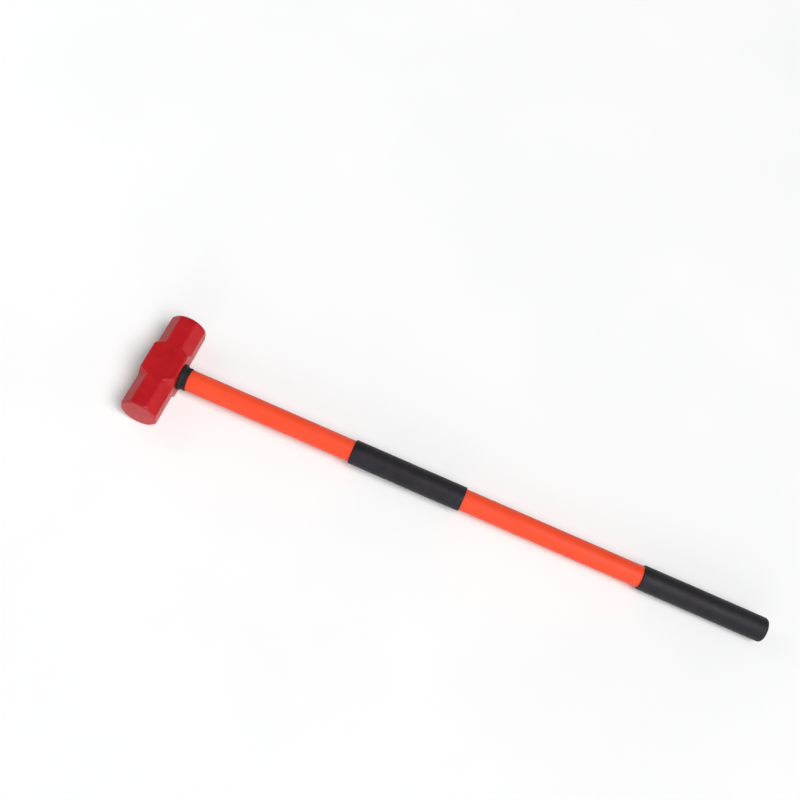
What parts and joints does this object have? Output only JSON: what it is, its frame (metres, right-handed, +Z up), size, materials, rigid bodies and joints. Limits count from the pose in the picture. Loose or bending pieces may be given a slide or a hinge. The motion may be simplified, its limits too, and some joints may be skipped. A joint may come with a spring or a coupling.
{
  "type": "sledge hammer",
  "caption": "Long-handled sledge hammer: octagonal double-faced steel head, jacketed fibreglass handle, two black rubber grips, closed butt.",
  "frame": {"origin": "centre of the head's lower cheek, the flat side that the head lies on", "axes": "+X along the handle from the head to the butt, Y along the striking axis, +Z up, away from the lower cheek"},
  "size_m": [0.9, 0.152, 0.05],
  "materials": {
    "head_enamel": "glossy red enamel over forged steel",
    "fibreglass": "sanded pultruded fibreglass",
    "resin": "poured epoxy, amber",
    "dam_rubber": "matt black rubber",
    "collar_rubber": "matt black moulded rubber",
    "jacket_plastic": "satin orange moulded polypropylene",
    "grip_rubber": "satin black thermoplastic rubber"
  },
  "bodies": {
    "root": {"head": "head_enamel", "handle_core": "fibreglass", "eye_resin": "resin", "dam_ring": "dam_rubber", "neck_collar": "collar_rubber", "shaft_jacket": "jacket_plastic", "mid_grip": "grip_rubber", "end_grip": "grip_rubber"}
  },
  "joints": []
}
